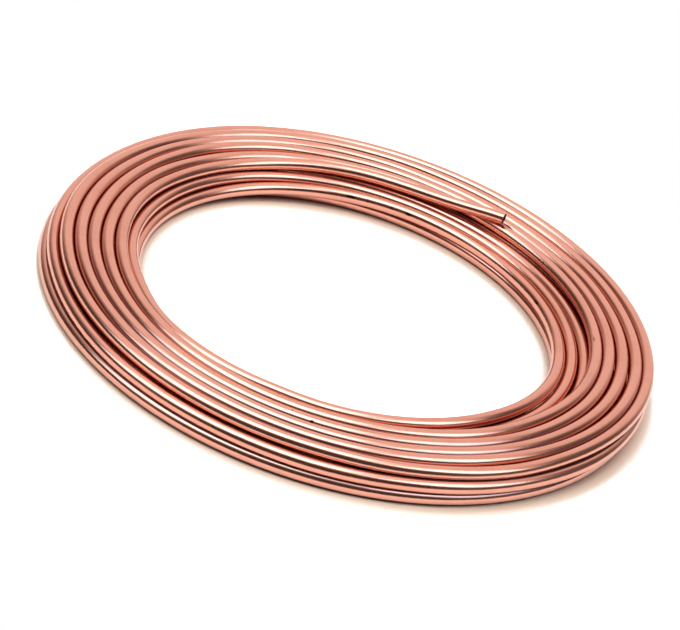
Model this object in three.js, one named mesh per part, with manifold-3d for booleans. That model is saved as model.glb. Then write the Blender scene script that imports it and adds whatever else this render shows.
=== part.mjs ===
// A coil of soft copper tube, lying flat: one length of tube wound by hand in three nested flat
// layers round an open eye. Where they lie together the turns are one turned solid, whose section
// is traced round the turns that show. The free end leaves the top layer and climbs over the next
// turn out, and its square cut leaves the bore open.
// Millimetres, +Z up, with the origin on the floor under the middle of the eye.

import * as THREE from "three";
import { mergeVertices } from "three/addons/utils/BufferGeometryUtils.js";
import Module from "manifold-3d";

// The tube.
const tubeDiameter = 10;
const tubeWall = 0.7;

// The winding.
const outerTurnRadius = 231; // centre line of the widest turn, in the middle layer
const turnGap = 0.15; // air between neighbouring turns of one layer
const nestingSlack = 0.2; // how much higher a layer rides than turns that nest tight
const bottomTurns = 7;
const middleTurns = 7;
const topTurns = 6;
const grooveAngle = 10; // degrees round a turn, from its neighbour to where its round shows

// The free end.
const tailTurn = 5; // the turn of the top layer that it leaves, counted from the outside
const tailLeaves = 101; // degrees from +X towards +Y, where it starts to climb
const tailSweep = 40; // degrees of the coil that it passes over
const tailClimb = 90; // degrees that it climbs round the next turn out, up to its crest
const tailRoot = 10; // degrees below the level of its turn at which it starts, inside the turn
const tailSpring = 0.8; // how deep it starts in the turn it climbs, and how far it ends off it
const tailShare = 0.45; // where along the tail the modelled bore begins

// Facets.
const ringFacets = 48;
const turnSides = 12;
const tubeFacets = 16;
const tailSteps = 16;

const tubeRadius = tubeDiameter / 2;
const boreRadius = tubeRadius - tubeWall;
const turnPitch = tubeDiameter + turnGap;
const layerInset = turnPitch / 2; // a turn lies in the groove between two turns of its neighbour
const layerRise = Math.sqrt(tubeDiameter ** 2 - layerInset ** 2) + nestingSlack;
const topLayerHeight = tubeRadius + 2 * layerRise;

const radians = THREE.MathUtils.degToRad;

// Centres of one layer's turns in the section, from the outside in.
function layerTurns(count, level, inset) {
  return Array.from({ length: count }, (_, turn) => new THREE.Vector2(
    outerTurnRadius - inset - turn * turnPitch,
    tubeRadius + level * layerRise,
  ));
}

// Centres of the turns that show, counter-clockwise round the section.
function shownTurns() {
  const bottom = layerTurns(bottomTurns, 0, layerInset).reverse();
  const middle = layerTurns(middleTurns, 1, 0);
  const top = layerTurns(topTurns, 2, layerInset);
  return [...bottom, middle[0], ...top, middle[middleTurns - 1]];
}

// Each turn is a polygon round its tube, with flats below, above and at its sides, and shows the
// corners that lie between its two neighbours, clear of the groove on either side.
function turnArc(centre, previous, next) {
  const side = (2 * Math.PI) / turnSides;
  const groove = radians(grooveAngle);
  const from = previous.clone().sub(centre).angle() + groove;
  const turned = next.clone().sub(centre).angle() - groove - from;
  const shown = turned < 0 ? turned + 2 * Math.PI : turned;
  const first = Math.ceil(from / side - 0.5);
  const last = Math.floor((from + shown) / side - 0.5);
  const reach = tubeRadius / Math.cos(side / 2);
  return Array.from({ length: last - first + 1 }, (_, i) => {
    const angle = (first + i + 0.5) * side;
    return new THREE.Vector2(Math.cos(angle), Math.sin(angle)).multiplyScalar(reach).add(centre);
  });
}

// The closed section of the wound turns: x is the distance from the axis, y the height.
function coilSection() {
  const turns = shownTurns();
  const count = turns.length;
  const points = turns.flatMap((centre, i) =>
    turnArc(centre, turns[(i + count - 1) % count], turns[(i + 1) % count]));
  return [...points, points[0].clone()];
}

// Centre line of the free end between two shares of its length. It follows its turn and climbs
// round the tube of the next turn out, through an angle that grows as the square of the way gone,
// while it springs off that turn.
class TailLine extends THREE.Curve {
  constructor(start, end) {
    super();
    this.start = start;
    this.end = end;
  }

  getPoint(share, target = new THREE.Vector3()) {
    const way = this.start + (this.end - this.start) * share;
    const angle = radians(tailLeaves - way * tailSweep);
    const climb = radians((tailClimb + tailRoot) * way ** 2 - tailRoot);
    const climbedTurnRadius = outerTurnRadius - layerInset - (tailTurn - 2) * turnPitch;
    const reach = tubeDiameter + tailSpring * (2 * way ** 2 - 1);
    const radius = climbedTurnRadius - reach * Math.cos(climb);
    const height = topLayerHeight + reach * Math.sin(climb);
    return target.set(radius * Math.cos(angle), radius * Math.sin(angle), height);
  }
}

// A round bar along a stretch of the free end.
function tailBar(radius, start, end) {
  const round = new THREE.Shape().absarc(0, 0, radius, 0, 2 * Math.PI);
  return new THREE.ExtrudeGeometry(round, {
    steps: Math.ceil((end - start) * tailSteps),
    curveSegments: tubeFacets / 2, // an arc gets two facets for each
    bevelEnabled: false,
    extrudePath: new TailLine(start, end),
  });
}

const wasm = await Module();
wasm.setup();

// A closed three.js geometry as a solid, with its shared corners merged.
function solidOf(geometry) {
  const bare = geometry.clone();
  bare.deleteAttribute("normal");
  bare.deleteAttribute("uv");
  const merged = mergeVertices(bare);
  return new wasm.Manifold(new wasm.Mesh({
    numProp: 3,
    vertProperties: merged.attributes.position.array,
    triVerts: new Uint32Array(merged.index.array),
  }));
}

// A solid as a three.js geometry.
function geometryOf(solid) {
  const { vertProperties, triVerts, numProp } = solid.getMesh();
  const geometry = new THREE.BufferGeometry();
  const places = new THREE.InterleavedBuffer(vertProperties, numProp);
  geometry.setAttribute("position", new THREE.InterleavedBufferAttribute(places, 3, 0));
  geometry.setIndex(new THREE.BufferAttribute(triVerts, 1));
  return geometry;
}

// The wound turns with the free end on them, and the bore open at its cut.
function copperTube() {
  const turns = new THREE.LatheGeometry(coilSection(), ringFacets).rotateX(Math.PI / 2);
  const tail = tailBar(tubeRadius, 0, 1);
  const bore = tailBar(boreRadius, tailShare, 1 + 1 / tailSteps);
  return geometryOf(solidOf(turns).add(solidOf(tail)).subtract(solidOf(bore)));
}

const copper = new THREE.MeshStandardMaterial({
  color: 0xd68f79,
  metalness: 1,
  roughness: 0.28,
  flatShading: true,
});

const coil = new THREE.Group();
const tube = new THREE.Mesh(copperTube(), copper);
tube.name = "copper_tube";
coil.add(tube);

export default coil;
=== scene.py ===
import bpy
import numpy as np
from mathutils import Matrix, Vector


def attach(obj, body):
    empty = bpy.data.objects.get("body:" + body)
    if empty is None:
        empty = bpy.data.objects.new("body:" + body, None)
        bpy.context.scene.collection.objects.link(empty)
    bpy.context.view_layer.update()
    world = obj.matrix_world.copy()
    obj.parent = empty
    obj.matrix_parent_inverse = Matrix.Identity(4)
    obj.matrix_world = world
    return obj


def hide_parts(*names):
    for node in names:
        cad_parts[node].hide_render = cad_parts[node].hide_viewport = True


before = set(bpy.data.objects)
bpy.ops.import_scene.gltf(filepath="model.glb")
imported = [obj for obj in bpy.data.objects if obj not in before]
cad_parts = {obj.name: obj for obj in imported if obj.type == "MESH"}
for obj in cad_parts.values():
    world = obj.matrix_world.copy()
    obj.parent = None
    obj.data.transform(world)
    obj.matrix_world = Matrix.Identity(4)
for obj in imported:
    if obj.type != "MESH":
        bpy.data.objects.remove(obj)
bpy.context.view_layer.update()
print("frame loaded")

millimetre = 0.001


# 0 below start, 1 above end, and 3t^2 - 2t^3 between
def easeBetween(values, start, end):
    t = np.clip((values - start) / (end - start), 0.0, 1.0)
    return t * t * (3.0 - 2.0 * t)


# a low bump from 0 to 1 and back: eases up over the first two places and down over the last two
def easedBump(values, rise, top, fall, end):
    return easeBetween(values, rise, top) * (1.0 - easeBetween(values, fall, end))


# a smooth curve through stations: a cubic on each span whose end slopes are the mean slopes
# between the stations on either side
def throughStations(values, places, heights):
    slopes = np.gradient(heights, places)
    span = np.clip(np.searchsorted(places, values) - 1, 0, len(places) - 2)
    width = places[span + 1] - places[span]
    t = np.clip((values - places[span]) / width, 0.0, 1.0)
    rise = heights[span + 1] - heights[span]
    startBend = slopes[span] * width
    endBend = slopes[span + 1] * width
    cubic = startBend + endBend - 2.0 * rise
    square = 3.0 * rise - 2.0 * startBend - endBend
    return heights[span] + t * (startBend + t * (square + t * cubic))


# how far a turn is out of round: the sum of a*cos(k*angle) + b*sin(k*angle) over k = 1, 2, 3
def outOfRound(angle, waves):
    total = np.zeros_like(angle)
    for k, (a, b) in enumerate(waves, start=1):
        total += a * np.cos(k * angle) + b * np.sin(k * angle)
    return total


# lengths in mm; turning in degrees along the tube, clockwise from +X seen from above
winding = {
    "diameter": 10.0,
    "wall": 0.7,
    "stepsPerTurn": 128,
    "sides": 36,
    "creviceShadeReach": 0.6,       # how fast the painted shade in the hollows between turns fades with the gap
    # the bottom layer starts on the floor at the outside and winds inwards, a step each turn
    "start": 256.6,
    "bottomTurns": 7,
    "bottomRadius": 227.9,
    "bottomWaves": [(-2.8, -0.9), (-0.7, 2.7)],
    "bottomInnerRadius": 164.0,
    "stepFrom": 180.0,
    "stepLength": 90.0,
    "floorHeight": 5.0,
    # the inner turns, where the tube leaves the floor and climbs: turning, radius and height
    "innerFrom": (2610.0, 2700.0),   # where they take over from the bottom layer
    "innerTurns": np.array([
        (2700, 173.4, 5.0), (2790, 164.3, 5.0), (2880, 163.0, 5.0), (2970, 164.3, 5.0),
        (3060, 165.3, 5.0), (3100, 163.4, 7.2), (3120, 161.1, 10.0), (3150, 161.1, 13.0),
        (3195, 162.2, 14.0), (3240, 160.4, 17.0), (3282, 161.4, 20.9), (3305, 164.0, 21.0),
        (3330, 166.5, 20.3), (3340, 167.3, 20.3), (3350, 169.8, 20.1), (3360, 172.0, 20.0),
        (3375, 173.8, 19.6), (3390, 170.6, 18.0), (3420, 170.4, 14.4), (3460, 171.0, 13.8),
        (3510, 171.8, 13.8), (3550, 174.6, 13.8), (3600, 170.9, 13.8), (3620, 169.4, 13.8),
        (3640, 167.9, 13.8), (3660, 170.2, 13.8), (3690, 174.2, 13.8), (3725, 180.4, 13.8),
        (3780, 182.8, 13.8), (3830, 183.8, 13.8), (3850, 181.9, 13.9), (3870, 181.2, 14.2),
        (3915, 184.2, 13.8), (3960, 181.6, 13.8), (4005, 183.0, 13.8), (4050, 184.6, 13.8),
        (4085, 190.4, 13.8), (4140, 193.4, 13.8), (4190, 195.0, 13.8), (4230, 195.4, 13.8),
        (4410, 197.0, 13.8), (4500, 201.3, 13.8), (4590, 204.6, 13.8), (4770, 206.6, 13.8),
        (4860, 209.4, 13.8), (4950, 213.8, 13.8), (5130, 216.0, 13.8), (5190, 217.2, 13.8),
        (5250, 219.5, 13.8), (5310, 225.4, 13.8), (5400, 227.7, 13.8),
    ], float),
    # the middle layer winds outwards to its widest turn
    "widestFrom": (5350.0, 5430.0),
    "middleRadius": 228.7,
    "middleWaves": [(-1.1, 0.2), (0.1, 1.9)],
    "middleHeight": 13.8,
    "tucked": (5525.0, 5558.0, 5590.0, 5640.0, 3.2),   # where it is tucked under the top layer
    # the top layer winds inwards from where it has climbed on top of the middle one
    "climbsUp": (5548.0, 5672.0),
    "topFrom": 5400.0,
    "topRadius": 235.3,
    "topPitch": 10.13,
    "topWaves": [(1.1, 3.0), (0.1, 3.3), (0.6, 0.4)],
    "topHeight": 22.6,
    # turning at each bump's rise, top, fall and end, and its size: where the top layer's turns
    # sink into the layer below
    "sags": [(5770.0, 5810.0, 5890.0, 5940.0, 1.4), (6675.0, 6695.0, 6715.0, 6735.0, -0.8),
             (7040.0, 7060.0, 7085.0, 7110.0, 1.0), (7385.0, 7412.0, 7428.0, 7452.0, 1.2)],
    # and where they stand out from the coil's middle
    "bulges": [(5425.0, 5445.0, 5470.0, 5490.0, -1.1), (5672.0, 5706.0, 5760.0, 5800.0, 1.0),
               (5795.0, 5812.0, 5832.0, 5850.0, 1.3), (5990.0, 6008.0, 6027.0, 6045.0, 1.3),
               (6040.0, 6075.0, 6140.0, 6175.0, 1.2), (6160.0, 6190.0, 6230.0, 6265.0, 0.9),
               (6320.0, 6340.0, 6368.0, 6385.0, 1.3), (6385.0, 6400.0, 6425.0, 6445.0, -1.7),
               (6446.0, 6465.0, 6490.0, 6515.0, 0.7), (6500.0, 6540.0, 6600.0, 6640.0, 1.6),
               (6690.0, 6705.0, 6722.0, 6740.0, 1.6), (6750.0, 6762.0, 6785.0, 6800.0, -1.2),
               (6860.0, 6895.0, 6965.0, 7000.0, 2.2), (7220.0, 7255.0, 7325.0, 7360.0, 1.6)],
    # they stray in and out by waves that don't repeat: waves a turn and their start in degrees
    "stray": 0.12,
    "strayFrom": (5600.0, 5700.0),
    "strayWaves": [(3.37, 0.0), (5.71, 40.0), (8.23, 110.0)],
    # the free end climbs round the next turn out
    "nudge": 12.0,             # degrees of climb where a turn below pushes it up
    "nudgeFrom": 7430.0,
    "nudgeTo": 7468.0,
    "climb": 86.0,             # degrees of climb at the cut
    "climbFrom": 7465.0,
    "climbTo": 7499.4,
    "climbPower": 3.0,
    "spring": 0.3,             # how far the cut end stands off that turn
}


# radius = base - pitch * turns + out of round, for a turn count that starts at the given turning
def spiralRadius(turning, angle, base, pitch, origin, waves):
    return base - pitch * (turning - origin) / 360.0 + outOfRound(angle, waves)


# centre line of the whole tube in mm: x = r cos(a), y = r sin(a), where a = -turning
def windingPath(w):
    turning = np.arange(w["start"], w["climbTo"], 360.0 / w["stepsPerTurn"])
    turning = np.append(turning, w["climbTo"])
    angle = -np.radians(turning)

    laps, within = np.divmod(turning - w["stepFrom"], 360.0)
    steps = laps - 1.0 + easeBetween(within, 0.0, w["stepLength"])
    outer = w["bottomRadius"] + outOfRound(angle, w["bottomWaves"])
    bottom = outer + (w["bottomInnerRadius"] - outer) * steps / w["bottomTurns"]
    places, radii, heights = w["innerTurns"].T
    inner = throughStations(turning, places, radii)
    radius = bottom + (inner - bottom) * easeBetween(turning, *w["innerFrom"])

    widest = w["middleRadius"] + outOfRound(angle, w["middleWaves"])
    radius += (widest - radius) * easeBetween(turning, *w["widestFrom"])

    top = spiralRadius(turning, angle, w["topRadius"], w["topPitch"], w["topFrom"], w["topWaves"])
    up = easeBetween(turning, *w["climbsUp"])
    radius += (top - radius) * up
    *tucked, inset = w["tucked"]
    radius -= inset * easedBump(turning, *tucked)

    height = np.maximum(throughStations(turning, places, heights), w["floorHeight"])
    height += (w["topHeight"] - w["middleHeight"]) * up
    for *sag, depth in w["sags"]:
        height -= depth * easedBump(turning, *sag)
    for *bulge, reach in w["bulges"]:
        radius += reach * easedBump(turning, *bulge)
    waves = sum(np.sin(np.radians(turning * rate + start)) for rate, start in w["strayWaves"])
    radius += w["stray"] * waves * easeBetween(turning, *w["strayFrom"])

    # the free end turns round the centre of its neighbour, through an angle called climb
    nextOut = spiralRadius(turning - 360.0, angle, w["topRadius"], w["topPitch"], w["topFrom"],
                           w["topWaves"])
    share = np.clip((turning - w["climbFrom"]) / (w["climbTo"] - w["climbFrom"]), 0.0, 1.0)
    nudge = w["nudge"] * easeBetween(turning, w["nudgeFrom"], w["nudgeTo"])
    climb = np.radians(nudge + (w["climb"] - w["nudge"]) * share ** w["climbPower"])
    reach = w["topPitch"] + w["spring"] * share ** 2
    free = turning > w["nudgeFrom"]
    radius = np.where(free, nextOut - reach * np.cos(climb), radius)
    height = np.where(free, height + reach * np.sin(climb), height)
    points = np.stack([radius * np.cos(angle), radius * np.sin(angle), height], axis=1)
    return points, turning, radius, height


# distance of each point of a path from its start, in mm: the running sum of its steps
def distanceAlong(path):
    steps = np.linalg.norm(np.diff(path, axis=0), axis=1)
    return np.concatenate([[0.0], np.cumsum(steps)])


# quads between each ring of points and the next, closed round
def ringFaces(ringCount, sides):
    rows = np.arange(ringCount - 1)[:, None] * sides
    here = np.arange(sides)[None, :]
    there = (here + 1) % sides
    return np.stack([rows + here, rows + there, rows + sides + there, rows + sides + here],
                    axis=2).reshape(-1, 4)


# a mesh object from points in mm, with places = points * 0.001, and faces
def meshObject(name, points, faces, material):
    mesh = bpy.data.meshes.new(name)
    mesh.from_pydata((points * millimetre).tolist(), [], faces)
    mesh.materials.append(material)
    mesh.update()
    piece = bpy.data.objects.new(name, mesh)
    bpy.context.scene.collection.objects.link(piece)
    return piece


# puts a plain value on a socket, or links another socket to it
def feed(tree, socket, value):
    if isinstance(value, bpy.types.NodeSocket):
        tree.links.new(value, socket)
    else:
        socket.default_value = value


# a node with its settings
def addNode(tree, kind, **settings):
    node = tree.nodes.new(kind)
    for key, value in settings.items():
        setattr(node, key, value)
    return node


# a sum, product, power or other operation on its values
def addMath(tree, operation, *values):
    node = addNode(tree, "ShaderNodeMath", operation=operation)
    for socket, value in zip(node.inputs, values):
        feed(tree, socket, value)
    return node.outputs["Value"]


# an operation on vectors, which puts out a vector or a plain value
def addVectorMath(tree, operation, output, *values):
    node = addNode(tree, "ShaderNodeVectorMath", operation=operation)
    for socket, value in zip(node.inputs, values):
        feed(tree, socket, value)
    return node.outputs[output]


# the vector (x, y, z)
def addVector(tree, *parts):
    node = addNode(tree, "ShaderNodeCombineXYZ")
    for axis, value in zip("XYZ", parts):
        feed(tree, node.inputs[axis], value)
    return node.outputs["Vector"]


# a smooth step of a value from 0 at the low place to 1 at the high place
def addStep(tree, value, places):
    low, high = places
    node = addNode(tree, "ShaderNodeMapRange", interpolation_type="SMOOTHSTEP")
    feed(tree, node.inputs["From Min"], low)
    feed(tree, node.inputs["From Max"], high)
    feed(tree, node.inputs["Value"], value)
    return node.outputs["Result"]


# (1 - factor) * a + factor * b, for RGBA colours or for FLOAT levels
def addMix(tree, kind, factor, a, b):
    node = addNode(tree, "ShaderNodeMix", data_type=kind)
    feed(tree, node.inputs["Factor"], factor)
    feed(tree, node.inputs["A"], a)
    feed(tree, node.inputs["B"], b)
    return node.outputs["Result"]


# the node tree of a material or world, without its usual nodes
def emptyTree(owner):
    owner.use_nodes = True
    owner.node_tree.nodes.clear()
    return owner.node_tree


# a node group with one plain output and named inputs, each with its usual value
def groupWith(name, inputs, output):
    tree = bpy.data.node_groups.new(name, "ShaderNodeTree")
    for label, kind, value in inputs:
        socket = tree.interface.new_socket(name=label, in_out="INPUT", socket_type=kind)
        if value is not None:
            socket.default_value = value
    tree.interface.new_socket(name=output, in_out="OUTPUT", socket_type="NodeSocketFloat")
    return tree, tree.nodes.new("NodeGroupInput").outputs, tree.nodes.new("NodeGroupOutput").inputs


# a group placed in a material with its own values
def useGroup(tree, group, output, **values):
    node = addNode(tree, "ShaderNodeGroup", node_tree=group)
    for label, value in values.items():
        feed(tree, node.inputs[label], value)
    return node.outputs[output]


# the lines that drawing leaves along the tube: noise of (x * length, y * fineness, z * fineness)
def drawnLinesGroup(detail):
    tree, source, result = groupWith(
        "drawnLines",
        [("Place", "NodeSocketVector", None), ("Fineness", "NodeSocketFloat", 1000.0),
         ("Length", "NodeSocketFloat", 10.0)],
        "Lines")
    fine = source["Fineness"]
    stretched = addVectorMath(tree, "MULTIPLY", "Vector", source["Place"],
                              addVector(tree, source["Length"], fine, fine))
    noise = addNode(tree, "ShaderNodeTexNoise")
    feed(tree, noise.inputs["Scale"], 1.0)
    feed(tree, noise.inputs["Detail"], detail)
    feed(tree, noise.inputs["Vector"], stretched)
    feed(tree, result["Lines"], noise.outputs["Fac"])
    return tree


# soft patches, where the copper has toned: amount * smooth step of noise of (place * size)
def tonedPatchesGroup(detail, roughness, edge):
    tree, source, result = groupWith(
        "tonedPatches",
        [("Place", "NodeSocketVector", None), ("Size", "NodeSocketFloat", 20.0),
         ("Amount", "NodeSocketFloat", 0.5)],
        "Mask")
    noise = addNode(tree, "ShaderNodeTexNoise")
    feed(tree, noise.inputs["Detail"], detail)
    feed(tree, noise.inputs["Roughness"], roughness)
    feed(tree, noise.inputs["Vector"], source["Place"])
    feed(tree, noise.inputs["Scale"], source["Size"])
    spread = addStep(tree, noise.outputs["Fac"], edge)
    feed(tree, result["Mask"], addMath(tree, "MULTIPLY", spread, source["Amount"]))
    return tree


# an oval spot: strength * (1 - smooth step of |(place - centre) / size|)
def roundSpotGroup(edge):
    tree, source, result = groupWith(
        "roundSpot",
        [("Place", "NodeSocketVector", None), ("Centre", "NodeSocketVector", (0.0, 0.0, 0.0)),
         ("Size", "NodeSocketVector", (0.001, 0.001, 0.001)),
         ("Strength", "NodeSocketFloat", 1.0)],
        "Mask")
    offset = addVectorMath(tree, "SUBTRACT", "Vector", source["Place"], source["Centre"])
    share = addVectorMath(tree, "DIVIDE", "Vector", offset, source["Size"])
    away = addVectorMath(tree, "LENGTH", "Value", share)
    inside = addMath(tree, "SUBTRACT", 1.0, addStep(tree, away, edge))
    feed(tree, result["Mask"], addMath(tree, "MULTIPLY", inside, source["Strength"]))
    return tree


copperLook = {
    "colour": (0.86, 0.36, 0.25, 1.0),
    "tonedColour": (0.70, 0.26, 0.18, 1.0),
    "patchScale": 18.0,
    "patchDetail": 4.0,
    "patchRoughness": 0.62,
    "patchEdge": (0.42, 0.72),
    "patchAmount": 0.4,
    # the painted shade in the hollows between turns: its colour on the outer flanks and on those
    # towards the eye
    "hollowShadeColour": (0.50, 0.235, 0.20, 1.0),
    "innerHollowShadeColour": (0.84, 0.32, 0.235, 1.0),
    "flankShadeEdge": (-0.003, 0.001),      # metres outwards from the centre line
    "hollowShadeSpread": 0.24,      # the painted shade in the hollows reaches further from the crevices as it gets smaller
    "hollowShadeEdge": (0.27, 0.80),
    # the darkest painted shade, where turns touch each other or the floor, and in the bore
    "creviceShadeColour": (0.085, 0.04, 0.042, 1.0),
    "roughness": 0.15,
    "roughnessSpread": 0.08,
    "lineFineness": 1400.0,    # waves a metre across the drawn lines, and along them
    "lineLength": 9.0,
    "lineDetail": 3.0,
    "lineDepth": 0.00002,
    # dark spots: turning, degrees round the tube, half length and half breadth in mm, strength
    "spotColour": (0.045, 0.018, 0.012, 1.0),
    "spotEdge": (0.4, 1.0),
    "spots": [(3157.5, 156.0, 3.2, 1.7, 1.0), (3139.9, 150.0, 6.0, 1.6, 0.9),
              (3152.3, 152.0, 0.9, 2.0, 0.7), (3145.0, 152.0, 0.7, 2.2, 0.8),
              (7188.2, 118.0, 5.0, 0.9, 0.6), (3209.0, 148.0, 4.0, 1.6, 0.9),
              (6930.0, 42.0, 1.8, 1.5, 1.0), (6934.4, 84.0, 1.0, 0.8, 0.5)],
}

drawnLines = drawnLinesGroup(copperLook["lineDetail"])
tonedPatches = tonedPatchesGroup(copperLook["patchDetail"], copperLook["patchRoughness"],
                                 copperLook["patchEdge"])
roundSpot = roundSpotGroup(copperLook["spotEdge"])


# centre and size of each spot in mm as (distance along the tube, r cos v, r sin v)
def spotPlaces(w, spots):
    path, turning = windingPath(w)[:2]
    turned, degrees, halfLength, halfBreadth, strength = np.array(spots).T
    along = np.interp(turned, turning, distanceAlong(path))
    v = np.radians(degrees)
    outer = w["diameter"] / 2.0
    centres = np.stack([along, outer * np.cos(v), outer * np.sin(v)], axis=1)
    sizes = np.stack([halfLength, halfBreadth, halfBreadth], axis=1)
    return centres, sizes, strength


# copper on the tube's own space: (distance along it, r cos v, r sin v) in metres. Its colours go
# over each other in turn: toned patches, painted shade in the hollows and crevices, and spots
def copperMaterial(name, look):
    material = bpy.data.materials.new(name)
    tree = emptyTree(material)
    output = addNode(tree, "ShaderNodeOutputMaterial")
    shader = addNode(tree, "ShaderNodeBsdfPrincipled")
    feed(tree, shader.inputs["Metallic"], 1.0)
    place = addNode(tree, "ShaderNodeAttribute", attribute_name="tubeSpace").outputs["Vector"]
    creviceShade = addNode(tree, "ShaderNodeAttribute", attribute_name="creviceShade").outputs["Fac"]
    lines = useGroup(tree, drawnLines, "Lines", Place=place, Fineness=look["lineFineness"],
                     Length=look["lineLength"])
    patches = useGroup(tree, tonedPatches, "Mask", Place=place, Size=look["patchScale"],
                       Amount=look["patchAmount"])

    toned = addMix(tree, "RGBA", patches, look["colour"], look["tonedColour"])
    # painted shade near the other turns: darker on the outer flanks than on those towards the eye,
    # and darkest in the crevices
    sideways = addNode(tree, "ShaderNodeSeparateXYZ")
    feed(tree, sideways.inputs["Vector"], place)
    flankShade = addMix(tree, "RGBA", addStep(tree, sideways.outputs["Y"], look["flankShadeEdge"]),
                   look["innerHollowShadeColour"], look["hollowShadeColour"])
    shadeNearness = addMath(tree, "POWER", creviceShade, look["hollowShadeSpread"])
    hollowShaded = addMix(tree, "RGBA", addStep(tree, shadeNearness, look["hollowShadeEdge"]), toned, flankShade)
    colour = addMix(tree, "RGBA", creviceShade, hollowShaded, look["creviceShadeColour"])
    spotMask = 0.0
    for centre, size, strength in zip(*spotPlaces(winding, look["spots"])):
        spot = useGroup(tree, roundSpot, "Mask", Place=place, Centre=centre * millimetre,
                        Size=size * millimetre, Strength=strength)
        spotMask = addMath(tree, "MAXIMUM", spotMask, spot)
    colour = addMix(tree, "RGBA", spotMask, colour, look["spotColour"])

    roughness = addNode(tree, "ShaderNodeMapRange")
    feed(tree, roughness.inputs["To Min"], look["roughness"])
    feed(tree, roughness.inputs["To Max"], look["roughness"] + look["roughnessSpread"])
    feed(tree, roughness.inputs["Value"], lines)
    bump = addNode(tree, "ShaderNodeBump")
    feed(tree, bump.inputs["Distance"], look["lineDepth"])
    feed(tree, bump.inputs["Height"], lines)
    feed(tree, shader.inputs["Base Color"], colour)
    feed(tree, shader.inputs["Roughness"], roughness.outputs["Result"])
    feed(tree, shader.inputs["Normal"], bump.outputs["Normal"])
    feed(tree, output.inputs["Surface"], shader.outputs["BSDF"])
    return material


copper = copperMaterial("drawnCopper", copperLook)


# how near each point of the skin is to the other turns and the floor, which sets the painted shade
# there: exp(-gap / reach), where the gap is measured in the upright plane through the coil's axis
def creviceShadeDepth(points, ringTurning, turning, radius, height, tubeRadius, reach):
    across = np.hypot(points[..., 0], points[..., 1])
    nearest = points[..., 2]
    laps = int((turning[-1] - turning[0]) // 360) + 1
    for lap in [k for k in range(-laps, laps + 1) if k != 0]:
        there = ringTurning + 360.0 * lap
        r = np.interp(there, turning, radius, left=np.inf, right=np.inf)[:, None]
        z = np.interp(there, turning, height)[:, None]
        nearest = np.minimum(nearest, np.hypot(across - r, points[..., 2] - z) - tubeRadius)
    return np.exp(-np.maximum(nearest, 0.0) / reach)


# lengths in mm
cutEnd = {
    "rimRound": 0.16,      # how far the cut's edges are broken
    "rimAngles": [90.0, 60.0, 30.0, 0.0],
    "boreDepth": 34.0,     # how much of the bore is open
    "boreSteps": 10,
    "clearance": 1.0,      # how far the tube's plain rings stay from the cut
    "lean": 0.11,          # how far out of square the free end is cut, as a slope
}


# from the depth of the bore over the rim to the outside: (distance in from the cut, radius),
# with the wall's edges as quarter rounds rim - rim cos t, rim - rim sin t
def endProfile(outer, bore, end):
    rim = end["rimRound"]
    turn = np.radians(end["rimAngles"])
    insets = rim + end["boreDepth"] * (1.0 - np.arange(end["boreSteps"]) / end["boreSteps"])
    inside = np.stack([insets, np.full(len(insets), bore)], axis=1)
    innerEdge = np.stack([rim - rim * np.cos(turn), bore + rim - rim * np.sin(turn)], axis=1)
    outerEdge = np.stack([rim - rim * np.cos(turn), outer - rim + rim * np.sin(turn)], axis=1)
    return np.concatenate([inside, innerEdge, outerEdge[::-1]])


# rings = centre + outwards * r cos(v) + upwards * r sin(v), where outwards is level and both
# stand square to the centre line
def buildCoil(w, end, material):
    path, turning, radius, height = windingPath(w)
    distance = distanceAlong(path)
    total = distance[-1]
    outer = w["diameter"] / 2.0
    bore = outer - w["wall"]
    sides = w["sides"]
    profile = endProfile(outer, bore, end)
    body = distance[(distance > end["clearance"]) & (distance < total - end["clearance"])]
    at = np.concatenate([profile[:, 0], body, total - profile[::-1, 0]])
    radii = np.concatenate([profile[:, 1], np.full(len(body), outer), profile[::-1, 1]])

    centre = np.stack([np.interp(at, distance, part) for part in path.T], axis=1)
    along = np.gradient(path, axis=0)
    along = np.stack([np.interp(at, distance, part) for part in along.T], axis=1)
    along /= np.linalg.norm(along, axis=1)[:, None]
    outwards = np.stack([-along[:, 1], along[:, 0], np.zeros(len(at))], axis=1)
    outwards /= np.linalg.norm(outwards, axis=1)[:, None]
    upwards = np.cross(along, outwards)
    upwards *= np.sign(upwards[:, 2])[:, None]
    v = np.linspace(0.0, 2.0 * np.pi, sides, endpoint=False)
    sideways = radii[:, None] * np.cos(v)
    rising = radii[:, None] * np.sin(v)
    points = (centre[:, None, :] + outwards[:, None, :] * sideways[..., None]
              + upwards[:, None, :] * rising[..., None])

    # the free end's cut leans: its rings move along by slope * r cos v, less with the way in
    freeEnd = np.arange(len(at)) >= len(at) - len(profile)
    leaning = freeEnd * np.clip(1.0 - (total - at) / end["boreDepth"], 0.0, 1.0)
    shift = end["lean"] * leaning[:, None] * sideways
    points += along[:, None, :] * shift[..., None]

    faces = ringFaces(len(at), sides).tolist()
    last = len(at) * sides
    faces.append(list(range(sides))[::-1])
    faces.append(list(range(last - sides, last)))
    piece = meshObject("copperTube", points.reshape(-1, 3), faces, material)

    space = np.stack([np.repeat(at, sides), sideways.ravel(), rising.ravel()], axis=1)
    attribute = piece.data.attributes.new("tubeSpace", "FLOAT_VECTOR", "POINT")
    attribute.data.foreach_set("vector", (space * millimetre).ravel())
    creviceShade = creviceShadeDepth(points, np.interp(at, distance, turning), turning, radius, height,
                           outer, w["creviceShadeReach"])
    creviceShade[np.isclose(radii, bore)] = 1.0      # the bore gets the darkest painted shade
    attribute = piece.data.attributes.new("creviceShade", "FLOAT", "POINT")
    attribute.data.foreach_set("value", creviceShade.ravel())
    piece.data.shade_smooth()
    print("tube length", round(total * millimetre, 3), "m,", len(faces), "faces")
    return piece


coil = buildCoil(winding, cutEnd, copper)
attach(coil, "root")
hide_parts("copper_tube")
print("coil built")


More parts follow.
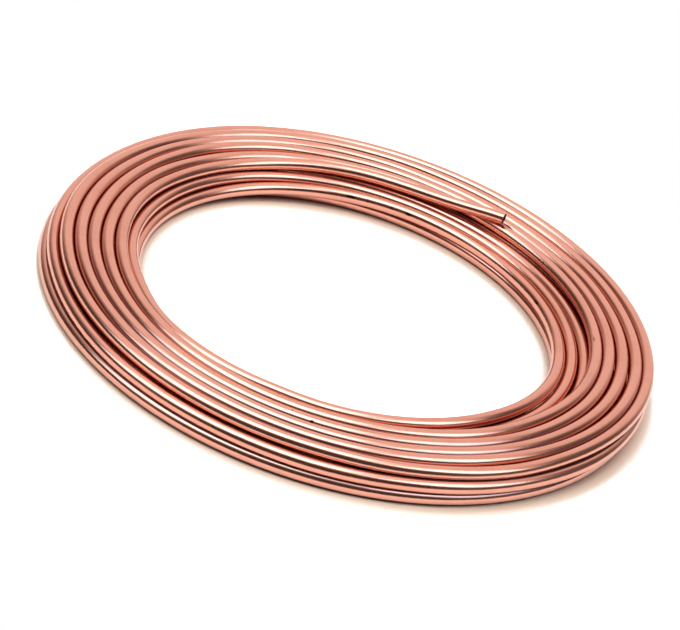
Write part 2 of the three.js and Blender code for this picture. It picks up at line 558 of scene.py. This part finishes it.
# metres
floorLook = {
    "half": 4.0,
    "front": 0.45,             # from the middle to the floor's front edge
    "colour": (0.8, 0.8, 0.8, 1.0),
    "seenColour": (1.25, 1.2, 1.16, 1.0),
    "whiteEdge": (0.28, 0.42),              # from the middle, where the floor turns plain white
    "shadowColour": (0.66, 0.48, 0.39, 1.0),   # painted shadow close to the object
    "contactShadowColour": (0.10, 0.06, 0.05, 1.0),  # and painted shadow under it
    "shadowReach": 0.02,
    "shadowLean": (-0.33, 0.42, 0.845),   # towards the light that the shadow falls away from
    "shadowSamples": 8,
    "shadowEdge": (0.68, 0.78),           # how open the floor is to that side: 0 shut, 1 open
    "contactEdge": (0.14, 0.28),
}


# a matt floor that darkens close to the object, with a painted shadow there for rays from the
# camera, and turns plain white away from it, for rays from the camera and for those that mirror or
# pass on what it sees
def floorMaterial(name, look):
    material = bpy.data.materials.new(name)
    tree = emptyTree(material)
    output = addNode(tree, "ShaderNodeOutputMaterial")
    matt = addNode(tree, "ShaderNodeBsdfDiffuse")
    plain = addNode(tree, "ShaderNodeEmission")
    rays = addNode(tree, "ShaderNodeLightPath").outputs
    covered = addNode(tree, "ShaderNodeAmbientOcclusion", samples=look["shadowSamples"])
    feed(tree, covered.inputs["Distance"], look["shadowReach"])
    feed(tree, covered.inputs["Normal"], addVector(tree, *look["shadowLean"]))
    openness = covered.outputs["AO"]
    shadow = addMix(tree, "RGBA", addStep(tree, openness, look["contactEdge"]),
                    look["contactShadowColour"], look["shadowColour"])
    seenColour = addMix(tree, "RGBA", addStep(tree, openness, look["shadowEdge"]),
                        shadow, look["seenColour"])
    colour = addMix(tree, "RGBA", rays["Is Camera Ray"], look["colour"], seenColour)
    feed(tree, matt.inputs["Color"], colour)

    place = addNode(tree, "ShaderNodeTexCoord").outputs["Object"]
    away = addVectorMath(tree, "LENGTH", "Value", place)
    mirrored = addMath(tree, "MAXIMUM", rays["Is Glossy Ray"], rays["Is Transmission Ray"])
    seen = addMath(tree, "MAXIMUM", rays["Is Camera Ray"], mirrored)
    both = addNode(tree, "ShaderNodeMixShader")
    feed(tree, both.inputs["Fac"],
         addMath(tree, "MULTIPLY", addStep(tree, away, look["whiteEdge"]), seen))
    feed(tree, both.inputs[1], matt.outputs["BSDF"])
    feed(tree, both.inputs[2], plain.outputs["Emission"])
    feed(tree, output.inputs["Surface"], both.outputs["Shader"])
    return material


half = floorLook["half"] / millimetre
frontEdge = -floorLook["front"] / millimetre
floorCorners = np.array([(-half, frontEdge, 0.0), (half, frontEdge, 0.0), (half, half, 0.0),
                         (-half, half, 0.0)])
floor = meshObject("floor", floorCorners, [(0, 1, 2, 3)], floorMaterial("whiteFloor", floorLook))

lamps = {
    "height": 4.0,
    # centre and size of each softbox in lamp heights, and the degrees that it is turned
    "softboxes": {"left": (-0.72, -0.252, 1.96, 0.66, 8.0),
                  "right": (1.045, -0.272, 1.27, 0.72, -6.0)},
    "level": 3.2,
    "colour": (1.0, 1.0, 1.0),
    "sheenLevel": 3.0,
    "sheenColour": (0.42, 0.76, 1.0),   # cool white, which shows on copper as white
    "sheenDrop": 0.05,                  # metres
}


# a level rectangular lamp over the floor, which faces down; its power is pi * level * area
def addSoftbox(name, box, lampHeight, level, colour, lift):
    x, y, width, depth = [value * lampHeight for value in box[:4]]
    lamp = bpy.data.lights.new(name, "AREA")
    lamp.shape = "RECTANGLE"
    lamp.size = width
    lamp.size_y = depth
    lamp.energy = level * width * depth * np.pi
    lamp.color = colour
    holder = bpy.data.objects.new(name, lamp)
    holder.visible_camera = False
    bpy.context.scene.collection.objects.link(holder)
    turn = Matrix.Rotation(np.radians(box[4]), 4, "Z")
    holder.matrix_world = Matrix.Translation((x, y, lampHeight + lift)) @ turn
    return holder


# each softbox is a lamp for matt surfaces and, just under it, one that polished surfaces mirror
for side, box in lamps["softboxes"].items():
    matt = addSoftbox(side + "Softbox", box, lamps["height"], lamps["level"], lamps["colour"],
                      lamps["sheenDrop"])
    matt.visible_glossy = False
    matt.data.cycles.use_multiple_importance_sampling = False
    sheen = addSoftbox(side + "Sheen", box, lamps["height"], lamps["sheenLevel"],
                       lamps["sheenColour"], 0.0)
    sheen.visible_diffuse = False

# levels of the room round the object, as the copper mirrors it, and where each side's level
# starts and is full, as the x, -x, y or -y of the direction
room = {
    "paleLevel": 0.92,
    "overheadLevel": 0.7,
    "overheadPower": 2.0,
    "overheadEdge": (0.05, 0.25),
    "leftLevel": 0.07,
    "leftEdge": (0.32, 0.90),
    "rightLevel": 0.12,
    "rightEdge": (0.30, 0.90),
    "rightCorner": (0.2, 0.5),
    "diagonal": 0.8,           # the right side's slant behind and in front: x + diagonal * |y|
    "diagonalEdge": (0.72, 1.02),
    "behindEdge": (0.42, 0.66),
    "frontLevel": 0.06,
    "frontEdge": (0.32, 0.68),
    "mostRed": 1.05,
}


# plain white for the camera; for the copper, a room that is pale behind and overhead, and dark
# at the sides and in front
def studioWorld(look):
    world = bpy.data.worlds.new("studio")
    tree = emptyTree(world)
    output = addNode(tree, "ShaderNodeOutputWorld")
    glow = addNode(tree, "ShaderNodeBackground")
    parts = addNode(tree, "ShaderNodeSeparateXYZ")
    feed(tree, parts.inputs["Vector"], addNode(tree, "ShaderNodeTexCoord").outputs["Generated"])
    x, y = parts.outputs["X"], parts.outputs["Y"]
    leftwards = addMath(tree, "MULTIPLY", x, -1.0)
    frontwards = addMath(tree, "MULTIPLY", y, -1.0)

    forwards = addMath(tree, "POWER", addMath(tree, "SUBTRACT", 1.0, y), look["overheadPower"])
    middle = addMath(tree, "SUBTRACT", 1.0, addStep(tree, x, look["overheadEdge"]))
    overhead = addMath(tree, "MULTIPLY", addMath(tree, "MULTIPLY", forwards, middle),
                       look["overheadLevel"])
    pale = addMath(tree, "ADD", overhead, look["paleLevel"])
    level = addMix(tree, "FLOAT", addStep(tree, leftwards, look["leftEdge"]), pale,
                   look["leftLevel"])

    sideways = addMath(tree, "MULTIPLY", addMath(tree, "ABSOLUTE", y), look["diagonal"])
    diagonal = addStep(tree, addMath(tree, "ADD", x, sideways), look["diagonalEdge"])
    right = addMix(tree, "FLOAT", addStep(tree, y, look["behindEdge"]), diagonal,
                   addStep(tree, x, look["rightEdge"]))
    right = addMath(tree, "MULTIPLY", right, addStep(tree, x, look["rightCorner"]))
    level = addMix(tree, "FLOAT", right, level, look["rightLevel"])
    level = addMix(tree, "FLOAT", addStep(tree, frontwards, look["frontEdge"]), level,
                   look["frontLevel"])

    rays = addNode(tree, "ShaderNodeLightPath").outputs
    level = addMix(tree, "FLOAT", rays["Is Camera Ray"], level, 1.0)
    white = addNode(tree, "ShaderNodeCombineColor")
    feed(tree, white.inputs["Red"], addMath(tree, "MINIMUM", level, look["mostRed"]))
    feed(tree, white.inputs["Green"], level)
    feed(tree, white.inputs["Blue"], level)
    feed(tree, glow.inputs["Color"], white.outputs["Color"])
    feed(tree, output.inputs["Surface"], glow.outputs["Background"])
    return world


bpy.context.scene.world = studioWorld(room)

# metres, degrees and mm of lens; the shift is a share of the frame's width
cameraView = {
    "distance": 2.0583,
    "elevation": 30.33,
    "roll": 18.55,
    "lens": 145.43,
    "sensor": 36.0,
    "shift": (-7.3 / 680.0, 0.6 / 680.0),
}


# looks at the middle of the floor from the near side: it stands at back * distance, where back is
# (0, -cos elevation, sin elevation), and is rolled about that line
def addCamera(view):
    lens = bpy.data.cameras.new("camera")
    lens.lens = view["lens"]
    lens.sensor_width = view["sensor"]
    lens.shift_x, lens.shift_y = view["shift"]
    holder = bpy.data.objects.new("camera", lens)
    bpy.context.scene.collection.objects.link(holder)
    elevation = np.radians(view["elevation"])
    roll = np.radians(view["roll"])
    right = Vector((1.0, 0.0, 0.0))
    up = Vector((0.0, np.sin(elevation), np.cos(elevation)))
    back = Vector((0.0, -np.cos(elevation), np.sin(elevation)))
    x = right * np.cos(roll) + up * np.sin(roll)
    y = up * np.cos(roll) - right * np.sin(roll)
    turn = Matrix((x, y, back)).transposed()
    holder.matrix_world = Matrix.Translation(back * view["distance"]) @ turn.to_4x4()
    bpy.context.scene.camera = holder


addCamera(cameraView)
bpy.context.scene.view_settings.view_transform = "Standard"
print("studio ready")
